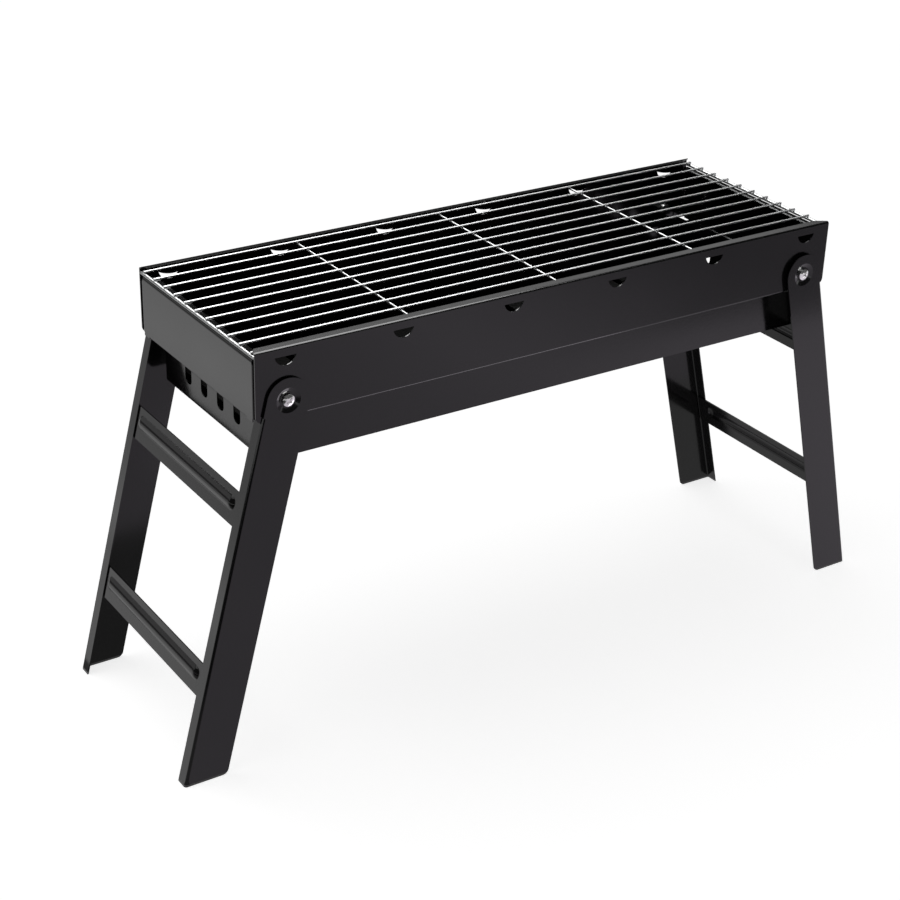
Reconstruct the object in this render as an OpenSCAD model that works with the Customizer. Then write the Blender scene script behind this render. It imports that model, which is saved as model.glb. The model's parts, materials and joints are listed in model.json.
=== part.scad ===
// Folding camp grill: a sheet-steel frame on two folding leg frames, with a charcoal trough that
// rises into the frame, a charcoal grate and a wire cooking net that slides out under the rims.
// Millimetres. X runs along the grill, the front faces -Y and the feet stand on Z = 0.

/* [Frame] */
// Length of the frame over its ends
frame_length = 600; // [480:1:760]
// Width of the frame over its side panels
frame_width = 208; // [170:1:280]
// Height of the side panels
frame_height = 61.5; // [56:0.5:80]
// Sheet of the frame panels
panel_sheet = 1; // [0.6:0.1:1.5]
// Outer radius of the frame's bends
panel_bend = 2; // [1.8:0.1:4]
// Length of the top rim past its bend
rim_length = 5.5; // [3:0.1:8]
// Rise of the top rim towards the inside
rim_rise = 8; // [0:1:30]
// Length of the slanted cut at the right-hand end of a rim, where the net slides in
rim_lead_in = 12; // [6:0.5:20]
// Length of the slanted cut at the left-hand end of a rim
rim_end_cut = 3; // [2:0.5:12]
// Radius of the side panels' lower corners
panel_corner_r = 6; // [2:0.5:10]
// Depth of the net's rest below the side panels' top: the tabs' top faces and the end panels' top
net_drop = 7.1; // [6.6:0.1:9]
// Width of the end panels' top hem
end_hem = 10; // [6:0.5:14]
// Outer radius of the bends at the end panels' sides
end_bend = 4.5; // [2:0.1:6]
// Outer radius of the bend at the end panels' top
end_top_bend = 3; // [1.8:0.1:3]
// Length of the end panels' welded side flanges
end_flange = 12; // [8:0.5:15]

/* [Lanced tabs] */
// Tabs in each side panel
tab_count = 6; // [2:1:8]
// Distance from the frame's end to the first tab's middle
tab_end_inset = 27.5; // [24:0.5:60]
// Width of a tab at its bend
tab_width = 19.6; // [12:0.1:24]
// Depth of a tab
tab_depth = 7.8; // [5:0.1:8]

/* [Pivots] */
// Distance from the frame's end to the pivot
pivot_inset = 28.4; // [26:0.1:40]
// Depth of the pivot below the side panels' top
pivot_drop = 45.7; // [44.5:0.1:47]
// Radius of the pivot screw
screw_r = 3; // [2:0.1:4]
// Radius of the screw head
screw_head_r = 5.3; // [5:0.1:7]
// Height of the screw head
screw_head_h = 2.9; // [2.4:0.1:5]
// Rise of the screw head's dome
screw_dome = 1.6; // [0.8:0.1:2]
// Width of the cross recess
recess_width = 1.5; // [0.8:0.1:2]
// Length of the cross recess
recess_length = 6; // [4:0.1:8]
// Depth of the cross recess
recess_depth = 1.8; // [1:0.1:2.2]
// Width of the nut across its flats
nut_flats = 10; // [8.5:0.1:13]
// Height of the nut
nut_h = 5; // [3:0.1:6]
// Screw length past the nut
screw_tail = 1.2; // [0.5:0.1:3]
// Radius of the spacers under the right-hand legs
spacer_r = 8; // [6:0.1:10]
// Thickness of the spacers under the right-hand legs
spacer_h = 1.6; // [1.4:0.1:3]
// Running clearance of the bores on the screws
bore_clear = 0.05; // [0.02:0.01:0.1]
// Running clearance between faces that turn on each other
face_clear = 0.1; // [0.05:0.05:0.3]

/* [Legs] */
// Distance along a leg from its pivot to the floor
leg_length = 347.6; // [290:0.1:380]
// Splay of the legs from upright
leg_splay = 13.9; // [8:0.1:18]
// Width of a leg
leg_width = 39; // [36:0.1:41]
// Width of the leg's flange
leg_flange = 13; // [8:0.1:13]
// Sheet of the legs
leg_sheet = 1.2; // [0.8:0.1:1.2]
// Outer radius of the leg's bend
leg_bend = 2.5; // [1.8:0.1:4]
// Radius of a foot's inner corner
foot_r = 6; // [2:0.5:10]
// Radius of the dish round the pivot
dish_r = 11; // [9.5:0.1:14]
// Radius of the dish's flat floor
dish_floor_r = 7.2; // [6.5:0.1:9]
// Depth of the dish
dish_depth = 1.4; // [1:0.1:2.2]
// Gap between a leg's flange and the end panel that stops it
stop_gap = 0.2; // [0.1:0.1:1]

/* [Cross plates] */
// Width of a cross plate
plate_width = 30; // [24:0.5:40]
// Distance along the leg from the pivot to the left-hand upper plate
left_upper_plate_at = 86; // [80:0.5:110]
// Distance along the leg from the pivot to the right-hand upper plate
right_upper_plate_at = 81; // [80:0.5:110]
// Distance along the leg from the pivot to the lower plates
lower_plate_at = 242; // [200:0.5:260]
// Sheet of the cross plates
plate_sheet = 1.2; // [0.8:0.1:1.2]
// Width of the pressed rib
rib_width = 13.5; // [8:0.5:14]
// Height of the pressed rib on the plate's outer face
rib_depth = 3; // [1.5:0.1:3]
// Distance from a plate's end to its rib
rib_margin = 14.5; // [14:0.5:40]
// Height of the rib's middle above the plate's middle
rib_offset = 2.4; // [0:0.1:3]
// Gap between a plate's end and the leg's bend
plate_clear = 0.2; // [0.1:0.1:1]

/* [Trough] */
// Distance from the frame's end to the trough's end wall
trough_end_gap = 14; // [12:0.1:20]
// Distance from the frame's side to the trough's side wall
trough_side_gap = 16; // [15.5:0.1:24]
// Depth of the trough below the frame
trough_depth = 43.8; // [30:0.1:44]
// Sheet of the trough
trough_sheet = 1; // [0.6:0.1:1.5]
// Radius of the trough's bend at each end
trough_bend = 4; // [2:0.5:12]
// Width of the trough's rim
trough_rim = 6; // [4:0.1:6]
// Gap between the trough's wall and the frame's ledge
ledge_clear = 1.5; // [0.5:0.1:2]
// Gap between the ends of neighbouring ledges
ledge_gap = 0.5; // [0.3:0.1:2]
// Air slots in each end of the trough
slot_count = 4; // [1:1:5]
// Distance between air slots
slot_pitch = 29.5; // [16:0.5:32]
// Width of an air slot
slot_width = 12; // [11:0.1:14]
// Length of an air slot
slot_length = 17.5; // [12:0.5:25]
// Radius of an air slot's corners
slot_corner_r = 5; // [1:0.1:5.4]
// Height of the air slots above the trough's underside
slot_rise = 16; // [13:0.5:17]

/* [Charcoal grate] */
// Sheet of the charcoal grate
grate_sheet = 1.2; // [0.8:0.1:2]
// Height of the grate above the trough's floor
grate_height = 12; // [9:0.5:16]
// Gap between the grate and the trough's walls
grate_clear = 10; // [9:0.5:20]
// Slots along the grate
grate_slots = 16; // [6:1:18]
// Distance from the grate's end to the first slot's middle
grate_end = 27.5; // [15:0.5:40]
// Width of a slot in the grate
grate_slot_width = 8; // [5:0.5:12]
// Distance from the grate's long edges to its slots
grate_edge = 13; // [8:0.5:20]
// Web between the two rows of slots
grate_web = 16; // [12:1:30]

/* [Cooking net] */
// Diameter of the long wires
wire_d = 2.2; // [1.5:0.1:2.5]
// Diameter of the cross wires
cross_wire_d = 2; // [1.5:0.1:2.5]
// Diameter of the end wires
end_wire_d = 3.2; // [2.5:0.1:3.5]
// Long wires
long_wires = 11; // [3:1:11]
// Distance from a side panel to the middle of the next long wire
wire_side_gap = 6.75; // [6:0.05:12]
// Cross wires
cross_wires = 3; // [1:1:5]
// Gap between the end wires and the side panels
net_clear = 0.4; // [0.3:0.1:2]
// Distance from the frame's end to the middle of the end wire
end_wire_inset = 1.5; // [1:0.1:6]
// Length of the long wires past the middle of the end wires, and of the cross wires past the long ones
wire_overhang = 0.8; // [0:0.1:2]
// Gap under the net where it rests
rest_gap = 0.3; // [0.1:0.1:0.5]
// Gap between crossing wires at their welds
weld_gap = 0.05; // [0.02:0.01:0.1]

/* [Hidden] */
$fn = 64;
cut = 1;
far = 1000;
half_l = frame_length / 2;
half_w = frame_width / 2;
pivot_x = half_l - pivot_inset;
pivot_z = leg_length * cos(leg_splay);
frame_top = pivot_z + pivot_drop;
frame_bottom = frame_top - frame_height;
end_top = frame_top - net_drop;
tab_z = end_top;
tab_pitch = (frame_length - 2 * tab_end_inset) / (tab_count - 1);
tab_r = (tab_width * tab_width / 4 + tab_depth * tab_depth) / (2 * tab_depth);
bore_r = screw_r + bore_clear;
rim_reach = panel_bend + panel_bend * cos(90 + rim_rise) + rim_length * cos(rim_rise);

leg_half = leg_width / 2;
// Depth along the leg at which the flange meets the underside of the end panel
flange_start = pivot_z - frame_bottom + stop_gap;
dish_slope = (dish_r - dish_floor_r) / dish_depth;
left_gap = dish_depth + face_clear;
right_gap = dish_depth + spacer_h + 2 * face_clear;
left_stack = face_clear + leg_sheet;
right_stack = spacer_h + 2 * face_clear + leg_sheet;

rib_r = (rib_width * rib_width / 4 + rib_depth * rib_depth) / (2 * rib_depth);
plate_back = leg_half - leg_sheet;

trough_half_l = half_l - trough_end_gap;
trough_half_w = half_w - trough_side_gap;
trough_bottom = frame_bottom - trough_depth;
rim_z = frame_bottom + panel_sheet;
side_ledge = trough_side_gap - ledge_clear;
end_ledge = trough_end_gap - ledge_clear;
grate_z = trough_bottom + trough_sheet + grate_height;
grate_half_l = trough_half_l - trough_sheet - grate_clear;
grate_half_w = trough_half_w - trough_sheet - grate_clear;
grate_pitch = 2 * (grate_half_l - grate_end) / (grate_slots - 1);
grate_slot_length = grate_half_w - grate_edge - grate_web / 2;

end_wire_x = half_l - end_wire_inset;
end_wire_z = end_top + rest_gap + end_wire_d / 2;
wire_z = end_wire_z + end_wire_d / 2 + wire_d / 2 + weld_gap;
cross_wire_z = wire_z - wire_d / 2 - cross_wire_d / 2 - weld_gap;
side_wire_y = half_w - panel_sheet - wire_side_gap;
wire_pitch = 2 * side_wire_y / (long_wires - 1);
cross_pitch = frame_length / (cross_wires + 1);

paint = [0.16, 0.16, 0.17];
paint_inside = [0.07, 0.07, 0.075];
zinc = [0.75, 0.75, 0.74];
chrome = [0.82, 0.83, 0.84];

// A profile drawn in Y and Z, run along X
module run_x(length) {
    rotate([90, 0, 90])
        linear_extrude(length, center = true)
            children();
}

// A profile drawn in X and Z, run along Y
module run_y(length) {
    rotate([90, 0, 0])
        linear_extrude(length, center = true)
            children();
}

// The sheet of a bend of outer radius r, from one angle to another, at most half a turn
module bend(r, sheet, from, to) {
    middle = (from + to) / 2;
    intersection() {
        difference() {
            circle(r);
            circle(r - sheet);
        }
        polygon([
            [0, 0],
            [3 * r * cos(from), 3 * r * sin(from)],
            [3 * r * cos(middle), 3 * r * sin(middle)],
            [3 * r * cos(to), 3 * r * sin(to)]
        ]);
    }
}

// A rectangle on its lower edge with both lower corners rounded
module round_footed(w, h, r) {
    translate([-w / 2, r])
        square([w, h - r]);
    translate([r - w / 2, 0])
        square([w - 2 * r, r]);
    for (side = [-1, 1])
        translate([side * (w / 2 - r), r])
            circle(r);
}

// A rectangle on its lower edge with four round corners
module round_cornered(w, h, r) {
    translate([-w / 2, r])
        square([w, h - 2 * r]);
    translate([r - w / 2, 0])
        square([w - 2 * r, h]);
    for (x = [r - w / 2, w / 2 - r], z = [r, h - r])
        translate([x, z])
            circle(r);
}

// A slot with round ends, upright on its lower end
module slot_shape(w, length) {
    translate([-w / 2, w / 2])
        square([w, length - w]);
    for (z = [w / 2, length - w / 2])
        translate([0, z])
            circle(w / 2);
}

// The outline of a lanced tab, hanging from its straight edge
module tab_shape() {
    intersection() {
        translate([0, tab_r - tab_depth])
            circle(tab_r);
        translate([-tab_width, -2 * tab_depth])
            square([2 * tab_width, 2 * tab_depth]);
    }
}

module on_tabs() {
    for (i = [0 : tab_count - 1])
        translate([(i - (tab_count - 1) / 2) * tab_pitch, 0, 0])
            children();
}

// Side panels

module side_wall() {
    difference() {
        translate([0, panel_sheet - half_w, frame_bottom])
            rotate([90, 0, 0])
                linear_extrude(panel_sheet)
                    round_footed(frame_length, frame_height - panel_bend, panel_corner_r);
        translate([0, -half_w, frame_bottom])
            cube([2 * (half_l - trough_end_gap), 4 * panel_sheet, 2 * panel_bend], center = true);
        on_tabs()
            translate([0, cut - half_w + panel_sheet, tab_z - panel_sheet])
                rotate([90, 0, 0])
                    linear_extrude(panel_sheet + 2 * cut)
                        tab_shape();
        for (side = [-1, 1])
            translate([side * pivot_x, -half_w, pivot_z])
                rotate([90, 0, 0])
                    cylinder(r = bore_r, h = 4 * panel_sheet, center = true);
    }
}

// The rim's bend and slope, about the centre of the bend
module rim_profile() {
    intersection() {
        difference() {
            union() {
                circle(panel_bend);
                rotate(rim_rise)
                    square([rim_length, panel_bend]);
            }
            circle(panel_bend - panel_sheet);
            rotate(rim_rise)
                translate([0, -panel_bend])
                    square([rim_length + cut, 2 * panel_bend - panel_sheet]);
        }
        translate([-panel_bend, 0])
            square(2 * (panel_bend + rim_length));
    }
}

// The slanted cut at a rim's right-hand end
module rim_cut(length) {
    translate([0, 0, frame_top - 2 * panel_bend])
        linear_extrude(4 * panel_bend)
            polygon([
                [half_l + cut, panel_bend - half_w],
                [half_l + cut, 2 * rim_reach - panel_bend - half_w],
                [half_l - cut - 2 * length, 2 * rim_reach - panel_bend - half_w]
            ]);
}

module side_rim() {
    difference() {
        translate([0, panel_bend - half_w, frame_top - panel_bend])
            run_x(frame_length)
                rim_profile();
        rim_cut(rim_lead_in);
        mirror([1, 0, 0])
            rim_cut(rim_end_cut);
    }
}

module side_ledge_run() {
    translate([0, panel_bend - half_w, frame_bottom + panel_bend])
        run_x(2 * (half_l - trough_end_gap)) {
            bend(panel_bend, panel_sheet, 180, 270);
            translate([0, -panel_bend])
                square([side_ledge - panel_bend, panel_sheet]);
        }
}

module side_tabs() {
    on_tabs()
        translate([0, panel_sheet - half_w, tab_z - panel_sheet])
            mirror([0, 1, 0])
                linear_extrude(panel_sheet) {
                    tab_shape();
                    translate([-tab_width / 2, 0])
                        square([tab_width, panel_sheet / 2]);
                }
}

module side_panel() {
    color(paint) {
        side_wall();
        side_rim();
        side_ledge_run();
        side_tabs();
    }
}

module front_panel() {
    side_panel();
}

module rear_panel() {
    mirror([0, 1, 0])
        side_panel();
}

// End panels

module end_panel() {
    span = frame_width - 2 * (panel_sheet + end_bend);
    ledge_span = frame_width - 2 * side_ledge - 2 * ledge_gap;
    flange_z = frame_bottom + panel_bend + panel_sheet;
    flange_h = end_top - end_top_bend - panel_sheet - flange_z;
    color(paint) {
        difference() {
            run_y(span) {
                translate([half_l - panel_sheet, frame_bottom])
                    square([panel_sheet, end_top - end_top_bend - frame_bottom]);
                translate([half_l - end_top_bend, end_top - end_top_bend])
                    bend(end_top_bend, panel_sheet, 0, 90);
                translate([half_l - end_hem, end_top - panel_sheet])
                    square([end_hem - end_top_bend, panel_sheet]);
            }
            translate([half_l, 0, frame_bottom])
                cube([4 * panel_sheet, ledge_span, 2 * panel_bend], center = true);
        }
        translate([half_l - panel_bend, 0, frame_bottom + panel_bend])
            run_y(ledge_span) {
                bend(panel_bend, panel_sheet, -90, 0);
                translate([panel_bend - end_ledge, -panel_bend])
                    square([end_ledge - panel_bend, panel_sheet]);
            }
        for (side = [-1, 1])
            mirror([0, side < 0 ? 1 : 0, 0])
                translate([half_l - end_bend, half_w - panel_sheet - end_bend, flange_z])
                    linear_extrude(flange_h) {
                        bend(end_bend, panel_sheet, 0, 90);
                        translate([end_bend - end_flange, end_bend - panel_sheet])
                            square([end_flange - end_bend, panel_sheet]);
                    }
    }
}

module right_end_panel() {
    end_panel();
}

module left_end_panel() {
    mirror([1, 0, 0])
        end_panel();
}

// Pivots, drawn at the right-hand front corner

module pivot_screw(stack) {
    dome_r = (screw_head_r * screw_head_r + screw_dome * screw_dome) / (2 * screw_dome);
    color(zinc)
        translate([pivot_x, -half_w - stack - face_clear, pivot_z])
            rotate([90, 0, 0])
                difference() {
                    union() {
                        rotate_extrude()
                            intersection() {
                                translate([0, screw_head_h - dome_r])
                                    circle(dome_r);
                                square([screw_head_r, screw_head_h]);
                            }
                        translate([0, 0, -stack - face_clear - panel_sheet - nut_h - screw_tail])
                            cylinder(r = screw_r, h = stack + face_clear + panel_sheet + nut_h + screw_tail + cut);
                    }
                    for (turn = [45, 135])
                        translate([0, 0, screw_head_h - recess_depth / 2 + cut / 2])
                            rotate(turn)
                                cube([recess_length, recess_width, recess_depth + cut], center = true);
                }
}

module pivot_nut() {
    color(zinc)
        translate([pivot_x, panel_sheet - half_w, pivot_z])
            rotate([-90, 0, 0])
                difference() {
                    cylinder(d = nut_flats / cos(30), h = nut_h, $fn = 6);
                    translate([0, 0, -cut])
                        cylinder(r = bore_r, h = nut_h + 2 * cut);
                }
}

module pivot_spacer() {
    color(zinc)
        translate([pivot_x, -half_w - face_clear, pivot_z])
            rotate([90, 0, 0])
                difference() {
                    cylinder(r = spacer_r, h = spacer_h);
                    translate([0, 0, -cut])
                        cylinder(r = bore_r, h = spacer_h + 2 * cut);
                }
}

// Turns a piece of the right-hand front corner to another corner
module corner(side, face) {
    mirror([side < 0 ? 1 : 0, 0, 0])
        mirror([0, face > 0 ? 1 : 0, 0])
            children();
}

module left_front_screw() {
    corner(-1, -1)
        pivot_screw(left_stack);
}

module left_rear_screw() {
    corner(-1, 1)
        pivot_screw(left_stack);
}

module right_front_screw() {
    corner(1, -1)
        pivot_screw(right_stack);
}

module right_rear_screw() {
    corner(1, 1)
        pivot_screw(right_stack);
}

module left_front_nut() {
    corner(-1, -1)
        pivot_nut();
}

module left_rear_nut() {
    corner(-1, 1)
        pivot_nut();
}

module right_front_nut() {
    corner(1, -1)
        pivot_nut();
}

module right_rear_nut() {
    corner(1, 1)
        pivot_nut();
}

module right_front_spacer() {
    corner(1, -1)
        pivot_spacer();
}

module right_rear_spacer() {
    corner(1, 1)
        pivot_spacer();
}

// Legs, drawn about the pivot: X towards the grill's end, Z up the leg, the outer face on Y = 0

module leg_section() {
    translate([-leg_half, 0])
        square([leg_width - leg_bend, leg_sheet]);
    translate([leg_half - leg_bend, leg_bend])
        bend(leg_bend, leg_sheet, -90, 0);
    translate([leg_half - leg_sheet, leg_bend])
        square([leg_sheet, leg_flange - leg_bend]);
}

// A cone about the pivot, as wide as the dish at a given depth and as wide as its floor at the bottom
module dish_cone(depth, lead) {
    translate([0, depth - lead, 0])
        rotate([-90, 0, 0])
            cylinder(r1 = dish_r + lead * dish_slope, r2 = dish_floor_r, h = dish_depth + lead);
}

module leg_blank() {
    overrun = leg_length + leg_width;
    difference() {
        union() {
            translate([0, leg_sheet, 0])
                rotate([90, 0, 0])
                    linear_extrude(leg_sheet) {
                        circle(leg_half);
                        translate([-leg_half, -flange_start])
                            square([leg_width, flange_start]);
                    }
            translate([0, 0, -overrun])
                linear_extrude(overrun - flange_start)
                    leg_section();
            dish_cone(leg_sheet, leg_sheet / 2);
        }
        dish_cone(0, leg_sheet / 2);
        rotate([90, 0, 0])
            cylinder(r = bore_r, h = leg_width, center = true);
    }
}

// The sliver that leaves a foot's inner corner round, in X and Z
module foot_corner() {
    inner_s = leg_length - leg_half * tan(leg_splay);
    vertex_x = pivot_x + inner_s * sin(leg_splay) - leg_half * cos(leg_splay);
    tangent = foot_r * tan(45 - leg_splay / 2);
    translate([vertex_x, 0])
        difference() {
            polygon([
                [0, 0],
                [tangent, 0],
                [tangent, foot_r],
                [-tangent * sin(leg_splay), tangent * cos(leg_splay)]
            ]);
            translate([tangent, foot_r])
                circle(foot_r);
        }
}

module leg(gap) {
    outer_y = -half_w - gap - leg_sheet;
    stop_z = frame_bottom - stop_gap;
    color(paint)
        difference() {
            translate([pivot_x, outer_y, pivot_z])
                rotate([0, -leg_splay, 0])
                    leg_blank();
            translate([0, outer_y - leg_width, -far])
                cube([far, 2 * leg_width, far]);
            translate([0, outer_y, 0])
                run_y(4 * leg_sheet)
                    foot_corner();
            translate([half_l - end_hem - leg_bend, outer_y + (leg_sheet + leg_bend) / 2, stop_z])
                cube([2 * leg_width, leg_flange, leg_width]);
        }
}

module left_front_leg() {
    corner(-1, -1)
        leg(left_gap);
}

module left_rear_leg() {
    corner(-1, 1)
        leg(left_gap);
}

module right_front_leg() {
    corner(1, -1)
        leg(right_gap);
}

module right_rear_leg() {
    corner(1, 1)
        leg(right_gap);
}

// The form of a cross plate's pressed rib, as a rod with round ends
module rib_rod(r, span) {
    rotate([90, 0, 0])
        cylinder(r = r, h = span, center = true);
    for (side = [-1, 1])
        translate([0, side * span / 2, 0])
            sphere(r);
}

module cross_plate(gap, at) {
    plate_half = half_w + gap + leg_sheet - leg_bend - plate_clear;
    rib_span = 2 * (plate_half - rib_margin) - rib_width;
    rib_x = rib_depth - rib_r;
    color(paint)
        translate([pivot_x, 0, pivot_z])
            rotate([0, -leg_splay, 0])
                translate([plate_back, 0, rib_offset - at - plate_width / 2])
                    difference() {
                        union() {
                            translate([-plate_sheet, -plate_half, -rib_offset - plate_width / 2])
                                cube([plate_sheet, 2 * plate_half, plate_width]);
                            intersection() {
                                translate([rib_x, 0, 0])
                                    rib_rod(rib_r, rib_span);
                                translate([-plate_sheet / 2, -plate_half, -plate_width])
                                    cube([2 * rib_r, 2 * plate_half, 2 * plate_width]);
                            }
                        }
                        translate([rib_x, 0, 0])
                            rib_rod(rib_r - plate_sheet, rib_span);
                    }
}

module left_upper_plate() {
    corner(-1, -1)
        cross_plate(left_gap, left_upper_plate_at);
}

module left_lower_plate() {
    corner(-1, -1)
        cross_plate(left_gap, lower_plate_at);
}

module right_upper_plate() {
    cross_plate(right_gap, right_upper_plate_at);
}

module right_lower_plate() {
    cross_plate(right_gap, lower_plate_at);
}

// Trough

module trough_end_profile() {
    translate([trough_half_l - trough_bend, trough_bottom + trough_bend])
        bend(trough_bend, trough_sheet, -90, 0);
    translate([trough_half_l - trough_sheet, trough_bottom + trough_bend])
        square([trough_sheet, rim_z + trough_sheet - trough_bottom - trough_bend]);
    translate([trough_half_l - trough_sheet, rim_z])
        square([trough_sheet + trough_rim, trough_sheet]);
}

module trough_floor() {
    color(paint)
        difference() {
            run_y(2 * (trough_half_w - trough_sheet)) {
                translate([trough_bend - trough_half_l, trough_bottom])
                    square([2 * (trough_half_l - trough_bend), trough_sheet]);
                trough_end_profile();
                mirror([1, 0])
                    trough_end_profile();
            }
            for (side = [-1, 1], i = [0 : slot_count - 1])
                translate([side * trough_half_l, (i - (slot_count - 1) / 2) * slot_pitch, trough_bottom + slot_rise])
                    run_x(4 * trough_sheet)
                        round_cornered(slot_width, slot_length, slot_corner_r);
        }
}

module trough_side() {
    color(paint) {
        translate([0, trough_sheet - trough_half_w, trough_bottom])
            rotate([90, 0, 0])
                linear_extrude(trough_sheet)
                    round_footed(2 * trough_half_l, rim_z + trough_sheet - trough_bottom, trough_bend);
        translate([-trough_half_l - trough_rim, -trough_half_w - trough_rim, rim_z])
            cube([2 * (trough_half_l + trough_rim), trough_rim + trough_sheet, trough_sheet]);
    }
}

module trough_front() {
    trough_side();
}

module trough_rear() {
    mirror([0, 1, 0])
        trough_side();
}

module charcoal_grate() {
    row_y = (grate_slot_length + grate_web) / 2;
    color(paint_inside)
        difference() {
            translate([-grate_half_l, -grate_half_w, grate_z - grate_height])
                cube([2 * grate_half_l, 2 * grate_half_w, grate_height + grate_sheet]);
            translate([-far, grate_sheet - grate_half_w, grate_z - grate_height - cut])
                cube([2 * far, 2 * (grate_half_w - grate_sheet), grate_height + cut]);
            for (i = [0 : grate_slots - 1], row = [-1, 1])
                translate([(i - (grate_slots - 1) / 2) * grate_pitch, row * row_y - grate_slot_length / 2, grate_z - cut])
                    linear_extrude(grate_sheet + 2 * cut)
                        slot_shape(grate_slot_width, grate_slot_length);
        }
}

// Cooking net

module net_long_wires() {
    color(chrome)
        for (i = [0 : long_wires - 1])
            translate([0, (i - (long_wires - 1) / 2) * wire_pitch, wire_z])
                rotate([0, 90, 0])
                    cylinder(d = wire_d, h = 2 * (end_wire_x + wire_overhang), center = true);
}

module net_cross_wires() {
    color(chrome)
        for (i = [0 : cross_wires - 1])
            translate([(i - (cross_wires - 1) / 2) * cross_pitch, 0, cross_wire_z])
                rotate([90, 0, 0])
                    cylinder(d = cross_wire_d, h = 2 * (side_wire_y + wire_overhang), center = true);
}

module net_end_wires() {
    color(chrome)
        for (side = [-1, 1])
            translate([side * end_wire_x, 0, end_wire_z])
                rotate([90, 0, 0])
                    cylinder(d = end_wire_d, h = 2 * (half_w - panel_sheet - net_clear), center = true);
}

front_panel();
rear_panel();
left_end_panel();
right_end_panel();
left_front_screw();
left_rear_screw();
right_front_screw();
right_rear_screw();
left_front_nut();
left_rear_nut();
right_front_nut();
right_rear_nut();
right_front_spacer();
right_rear_spacer();
left_front_leg();
left_rear_leg();
left_upper_plate();
left_lower_plate();
right_front_leg();
right_rear_leg();
right_upper_plate();
right_lower_plate();
trough_floor();
trough_front();
trough_rear();
charcoal_grate();
net_long_wires();
net_cross_wires();
net_end_wires();
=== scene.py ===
"""Looks of the folding camp grill: gloss black paint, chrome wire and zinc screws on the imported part."""

import json
import math
from collections import namedtuple

import bpy
from mathutils import Matrix, Vector

# Camera, solved from the photograph's straight edges (degrees, metres)
AZIMUTH = -33.91
ELEVATION = 27.02
ROLL = 1.73
LENS_MM = 78.57
SENSOR_MM = 36.0
CLIP_START, CLIP_END = 0.05, 50
DISTANCE = 1.812
AIM = (-0.045, 0.0, 0.1882)

# Floor, sun and world
WHITE = (1, 1, 1, 1)
BLACK = (0, 0, 0, 1)
FLOOR_SIZE = 14.0
FLOOR_COLOUR = (0.86, 0.86, 0.86, 1)
FLOOR_GLOW = 0.80
MATT_ROUGHNESS = 0.9
WORLD_STRENGTH = 0.06
SUN_PLACE = (-0.9, 0.9, 3.0)
SUN_ANGLE = 60
SUN_STRENGTH = 0.7

# Heights of the cards that only reflections see: overhead, on the floor, and on top of another paper
OVERHEAD_Z = 2.5
PAPER_Z = 0.002
TOP_PAPER_Z = 0.003
FRONT_TINT = (1.0, 0.93, 1.03, 1)
EVEN = [(0, 0), (1, 0)]

# Places that the floor papers share
REACH = 2.5
FRONT_Y = -0.106
BACK_Y = 0.6
# Corner of the painted shadow at the front right
SHADE_X, SHADE_Y = 0.3, -0.615
NEAR_X, MID_X, FAR_X = -0.40, -0.60, -0.70
FOOT_Y = 0.42
BAND_END_Y = 3.0
FRONT_FOOT = (-0.37, FRONT_Y)
FRONT_END = (-0.42, -REACH)
UNDER_CORNER = (NEAR_X, 0.3)
MID_SPLIT = (MID_X, 0.038)
FAR_SPLIT = (FAR_X, 0.104)
END_SPLIT = (-REACH, 1.3)

# Place that the two overhead cards share
CARD_SPLIT = (0.9, 1.2)

# Upright cards behind the left end: both ends of their line, then name, lower and upper edge, glow
BACKDROP_ENDS = [(-3.6, 1.9), (-0.9, 3.9)]
BACKDROPS = [("low_backdrop", 0.01, 0.8, 0.15), ("high_backdrop", 0.8, 2.6, 0.55)]

# Noise of the finishes (per metre) and the parts of its range that wear and gloss follow
CLOUD_SCALE, CLOUD_DETAIL = 9, 4
PEEL_SCALE, PEEL_DETAIL = 420, 2
PEEL_DEPTH = 0.0004
WEAR_FROM, WEAR_TO = 0.25, 0.85
GLOSS_FROM, GLOSS_TO = 0.2, 0.8

# Painted shade on upward faces of the trough: where such a face starts and ends (the normal's Z), and the low
# specular level that takes away its reflection of the overhead card
UPWARD_SHADE_FROM, UPWARD_SHADE_TO = 0.1, 0.4
UPWARD_SHADE_SPECULAR = 0.01

PAINT_BLACK = (0.0022, 0.0020, 0.0023)
PAINT_WORN = (0.0042, 0.0040, 0.0044)
PAINT_ROUGHNESS = (0.10, 0.18)
GRATE_BLACK = (0.003, 0.003, 0.003)
GRATE_DUSTY = (0.008, 0.0078, 0.0075)
CHROME = (0.39, 0.395, 0.395)
CHROME_DULL = (0.31, 0.315, 0.315)
ZINC = (0.95, 0.95, 0.94)
ZINC_DULL = (0.75, 0.75, 0.74)

# One finish for each of the record's slots; peel is the strength of the fine bump
Finish = namedtuple("Finish", "clean worn roughness metallic specular peel dull_upward", defaults=[False])
FINISHES = {
    "frame_paint": Finish(PAINT_BLACK, PAINT_WORN, PAINT_ROUGHNESS, 0.0, 0.50, 0.05),
    "leg_paint": Finish(PAINT_BLACK, PAINT_WORN, PAINT_ROUGHNESS, 0.0, 0.50, 0.05),
    # The trough gets painted shade on its upward faces, whose sheen is taken off
    "trough_paint": Finish(PAINT_BLACK, PAINT_WORN, PAINT_ROUGHNESS, 0.0, 0.50, 0.06, dull_upward=True),
    "grate_paint": Finish(GRATE_BLACK, GRATE_DUSTY, (0.55, 0.75), 0.0, 0.015, 0.10),
    "fastener_zinc": Finish(ZINC, ZINC_DULL, (0.14, 0.28), 1.0, 0.5, 0.03),
    "net_chrome": Finish(CHROME, CHROME_DULL, (0.30, 0.42), 1.0, 0.5, 0.02),
}


def rectangle(x0, y0, x1, y1):
    return [(x0, y0), (x1, y0), (x1, y1), (x0, y1)]


def at_height(corners, z):
    return [(x, y, z) for x, y in corners]


def look_at(place, target):
    """A rotation that points an object's -Z from place to target."""
    return (Vector(target) - Vector(place)).to_track_quat("-Z", "Y").to_euler()


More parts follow.
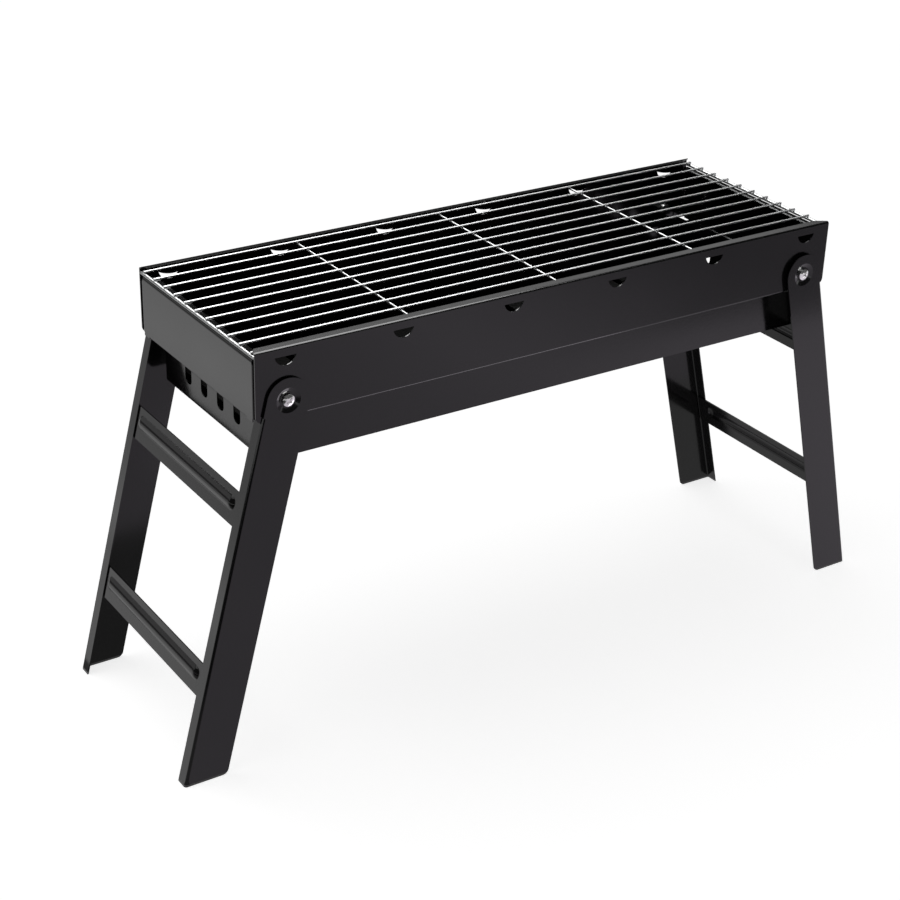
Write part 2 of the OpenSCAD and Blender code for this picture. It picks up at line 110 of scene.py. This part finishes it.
def make_camera():
    a, e, r = (math.radians(x) for x in (AZIMUTH, ELEVATION, ROLL))
    back = Vector((math.sin(a) * math.cos(e), -math.cos(a) * math.cos(e), math.sin(e)))
    level = Vector((math.cos(a), math.sin(a), 0))
    up = back.cross(level)
    right = level * math.cos(r) + up * math.sin(r)
    matrix = Matrix((right, back.cross(right), back)).transposed().to_4x4()
    matrix.translation = Vector(AIM) + back * DISTANCE
    data = bpy.data.cameras.new("photo_camera")
    data.lens = LENS_MM
    data.sensor_width = SENSOR_MM
    data.clip_start, data.clip_end = CLIP_START, CLIP_END
    camera = bpy.data.objects.new("photo_camera", data)
    camera.matrix_world = matrix
    bpy.context.scene.collection.objects.link(camera)
    bpy.context.scene.camera = camera


def make_sun():
    data = bpy.data.lights.new("soft_sun", "SUN")
    data.angle, data.energy = math.radians(SUN_ANGLE), SUN_STRENGTH
    sun = bpy.data.objects.new("soft_sun", data)
    sun.location = SUN_PLACE
    sun.rotation_euler = look_at(SUN_PLACE, (0, 0, 0))
    bpy.context.scene.collection.objects.link(sun)


def make_world():
    world = bpy.data.worlds.new("studio")
    world.use_nodes = True
    background = world.node_tree.nodes["Background"]
    background.inputs["Color"].default_value = WHITE
    background.inputs["Strength"].default_value = WORLD_STRENGTH
    bpy.context.scene.world = world


def flat_piece(name, corners):
    """A flat stage piece through the given corners."""
    mesh = bpy.data.meshes.new(name)
    mesh.from_pydata(corners, [], [tuple(range(len(corners)))])
    piece = bpy.data.objects.new(name, mesh)
    bpy.context.scene.collection.objects.link(piece)
    return piece


def glow_material(name, colour, tint, glow):
    """A matt material that also gives off light of the given tint."""
    material = bpy.data.materials.new(name)
    material.use_nodes = True
    shader = material.node_tree.nodes["Principled BSDF"]
    shader.inputs["Base Color"].default_value = colour
    shader.inputs["Roughness"].default_value = MATT_ROUGHNESS
    shader.inputs["Specular IOR Level"].default_value = 0.0
    shader.inputs["Emission Color"].default_value = tint
    shader.inputs["Emission Strength"].default_value = glow
    return material


def make_floor():
    half = FLOOR_SIZE / 2
    floor = flat_piece("floor", at_height(rectangle(-half, -half, half, half), 0))
    floor.data.materials.append(glow_material("floor_paper", FLOOR_COLOUR, WHITE, FLOOR_GLOW))


def fading_material(name, tint, places, glows):
    """A black material whose glow goes from one strength to the other between two places."""
    material = glow_material(name, BLACK, tint, glows[0])
    tree = material.node_tree
    start, end = (Vector((*place, 0)) for place in places)
    direction = (end - start) / (end - start).length_squared
    along = tree.nodes.new("ShaderNodeVectorMath")
    along.operation = "DOT_PRODUCT"
    along.inputs[1].default_value = direction
    tree.links.new(tree.nodes.new("ShaderNodeTexCoord").outputs["Object"], along.inputs[0])
    first = start.dot(direction)
    strength = span(tree, along.outputs["Value"], first, first + 1, *glows)
    tree.links.new(strength, tree.nodes["Principled BSDF"].inputs["Emission Strength"])
    return material


def make_card(name, corners, glow, fade_to=None, places=EVEN, tint=WHITE):
    """A glowing card that only reflections see, even or fading between two places."""
    glows = (glow, glow if fade_to is None else fade_to)
    card = flat_piece(name, corners)
    card.data.materials.append(fading_material(name, tint, places, glows))
    card.visible_camera = False
    card.visible_diffuse = False
    card.visible_shadow = False


def make_overhead_cards():
    """Highlights on the net's wires, then on the sloping rims."""
    split_x, split_y = CARD_SPLIT
    net = [(-1.2, -1.9), (1.35, -1.9), (1.35, 1.0), CARD_SPLIT, (split_x, 3.4), (-1.2, 3.4)]
    make_card("net_card", at_height(net, OVERHEAD_Z), 8.0)
    make_card("rim_card", at_height(rectangle(split_x, split_y, 3.1, 2.8), OVERHEAD_Z), 1.15)


def make_front_papers():
    """What the front faces mirror, with strips for the panel's lower bend and the right rear leg, and the
    grill's shadow painted at the front right.
    """
    front = [FRONT_FOOT, FRONT_END, (SHADE_X, -REACH), (SHADE_X, SHADE_Y), (REACH, SHADE_Y), (REACH, FRONT_Y)]
    make_card("front_paper", at_height(front, PAPER_Z), 0.53, 0.80, [(0, 0), (0.6, 0)], FRONT_TINT)
    bend = [(-0.08, -0.28), (0.30, -0.28), (0.30, -0.11), (-0.16, -0.11)]
    make_card("line_paper", at_height(bend, TOP_PAPER_Z), 2.2, tint=FRONT_TINT)
    leg = [(0.45, FRONT_Y), (0.55, FRONT_Y), (0.63, -0.22), (0.49, -0.22)]
    make_card("leg_paper", at_height(leg, TOP_PAPER_Z), 0.50, tint=FRONT_TINT)
    # Painted shadow: the grill's shadow on the front right floor, a glow that gets dimmer towards the right
    # and is seen only in reflections
    shade = rectangle(SHADE_X, -REACH, REACH, SHADE_Y)
    make_card("shade_paper", at_height(shade, PAPER_Z), 0.70, 0.30, [(SHADE_X, 0), (0.85, 0)], FRONT_TINT)


def make_left_papers():
    """What the left end mirrors: dark at the front corner, then bands that lie further and further out."""
    dark = [FRONT_FOOT, END_SPLIT, (-REACH, -REACH), FRONT_END]
    make_card("dark_paper", at_height(dark, PAPER_Z), 0.22, 0.03, [(-0.42, -0.17), (-0.60, -0.35)])
    near = [FRONT_FOOT, UNDER_CORNER, (NEAR_X, FOOT_Y), (MID_X, FOOT_Y), MID_SPLIT]
    make_card("near_paper", at_height(near, PAPER_Z), 0.80)
    make_card("foot_paper", at_height(rectangle(MID_X, FOOT_Y, NEAR_X, BAND_END_Y), PAPER_Z), 0.70)
    left = [MID_SPLIT, (MID_X, BAND_END_Y), (FAR_X, BAND_END_Y), FAR_SPLIT]
    make_card("left_paper", at_height(left, PAPER_Z), 1.0, 0.74, [(0, 0.5), (0, 1.0)])
    far = [FAR_SPLIT, (FAR_X, BAND_END_Y), (-REACH, BAND_END_Y), END_SPLIT]
    make_card("far_paper", at_height(far, PAPER_Z), 0.78, 0.58, [(FAR_X, 0), (-0.85, 0)])


def make_back_papers():
    """What lies under and behind the grill, with the grill's shadow painted under it."""
    under = [FRONT_FOOT, (0.7, FRONT_Y), (0.7, BACK_Y), (NEAR_X, BACK_Y), UNDER_CORNER]
    # Painted shadow: this paper glows dimly, as the grill's shadow on the floor beneath it, seen only in
    # reflections
    make_card("under_shadow_paper", at_height(under, PAPER_Z), 0.18, 0.41, [(-0.25, 0), (0.35, 0)])
    make_card("back_paper", at_height(rectangle(NEAR_X, BACK_Y, REACH, 6.0), PAPER_Z), 1.0)


def make_backdrops():
    """Upright cards that the ribs of the left cross plates mirror."""
    left, right = BACKDROP_ENDS
    for name, low, high, glow in BACKDROPS:
        make_card(name, [(*left, low), (*right, low), (*right, high), (*left, high)], glow)


def noise(tree, vector, scale, detail):
    node = tree.nodes.new("ShaderNodeTexNoise")
    node.inputs["Scale"].default_value = scale
    node.inputs["Detail"].default_value = detail
    tree.links.new(vector, node.inputs["Vector"])
    return node.outputs["Fac"]


def ramp(tree, value, low, high, start, end):
    """Colour from low to high as value goes from start to end."""
    node = tree.nodes.new("ShaderNodeValToRGB")
    node.color_ramp.interpolation = "EASE"
    first, last = node.color_ramp.elements
    first.position, last.position = start, end
    first.color, last.color = (*low, 1), (*high, 1)
    tree.links.new(value, node.inputs["Fac"])
    return node.outputs["Color"]


def span(tree, value, start, end, low, high):
    """Number from low to high as value goes from start to end."""
    node = tree.nodes.new("ShaderNodeMapRange")
    node.interpolation_type = "SMOOTHSTEP"
    node.inputs["From Min"].default_value = start
    node.inputs["From Max"].default_value = end
    node.inputs["To Min"].default_value = low
    node.inputs["To Max"].default_value = high
    tree.links.new(value, node.inputs["Value"])
    return node.outputs["Result"]


def bump(tree, height, strength, distance):
    node = tree.nodes.new("ShaderNodeBump")
    node.inputs["Strength"].default_value = strength
    node.inputs["Distance"].default_value = distance
    tree.links.new(height, node.inputs["Height"])
    return node.outputs["Normal"]


def dull_upward(tree, shader, specular):
    """Painted shade: take the sheen off faces that look up, such as the lower edges of slots, so that they no
    longer mirror the overhead card.
    """
    normal = tree.nodes.new("ShaderNodeSeparateXYZ")
    tree.links.new(tree.nodes.new("ShaderNodeNewGeometry").outputs["Normal"], normal.inputs["Vector"])
    level = span(tree, normal.outputs["Z"], UPWARD_SHADE_FROM, UPWARD_SHADE_TO, specular, UPWARD_SHADE_SPECULAR)
    tree.links.new(level, shader.inputs["Specular IOR Level"])


def finish_material(slot):
    """The slot's colour and gloss, clouded by a broad noise, with a fine orange peel."""
    finish = FINISHES[slot]
    material = bpy.data.materials.new(slot)
    material.use_nodes = True
    tree = material.node_tree
    shader = tree.nodes["Principled BSDF"]
    place = tree.nodes.new("ShaderNodeTexCoord").outputs["Object"]
    cloud = noise(tree, place, CLOUD_SCALE, CLOUD_DETAIL)
    fine = noise(tree, place, PEEL_SCALE, PEEL_DETAIL)
    colour = ramp(tree, cloud, finish.clean, finish.worn, WEAR_FROM, WEAR_TO)
    tree.links.new(colour, shader.inputs["Base Color"])
    tree.links.new(span(tree, cloud, GLOSS_FROM, GLOSS_TO, *finish.roughness), shader.inputs["Roughness"])
    tree.links.new(bump(tree, fine, finish.peel, PEEL_DEPTH), shader.inputs["Normal"])
    shader.inputs["Metallic"].default_value = finish.metallic
    shader.inputs["Specular IOR Level"].default_value = finish.specular
    # Painted shade on upward faces, where the slot asks for it
    if finish.dull_upward:
        dull_upward(tree, shader, finish.specular)
    return material


def dress(frame):
    """Give each CAD node the material of its slot."""
    materials = {slot: finish_material(slot) for slot in FINISHES}
    for part in frame["record"]["subparts"]:
        mesh = frame["nodes"][part["node"]].data
        mesh.materials.clear()
        mesh.materials.append(materials[part["material_slot"]])


bpy.context.scene.view_settings.view_transform = "Standard"
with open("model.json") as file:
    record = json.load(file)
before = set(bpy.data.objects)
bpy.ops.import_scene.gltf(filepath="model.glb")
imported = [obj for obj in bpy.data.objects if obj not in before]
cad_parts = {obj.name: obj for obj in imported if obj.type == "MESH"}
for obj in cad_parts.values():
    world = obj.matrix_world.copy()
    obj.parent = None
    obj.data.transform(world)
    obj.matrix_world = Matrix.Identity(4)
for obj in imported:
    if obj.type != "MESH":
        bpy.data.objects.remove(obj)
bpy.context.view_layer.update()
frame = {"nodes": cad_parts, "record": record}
make_camera()
make_sun()
make_world()
make_floor()
make_overhead_cards()
make_front_papers()
make_left_papers()
make_back_papers()
make_backdrops()
dress(frame)
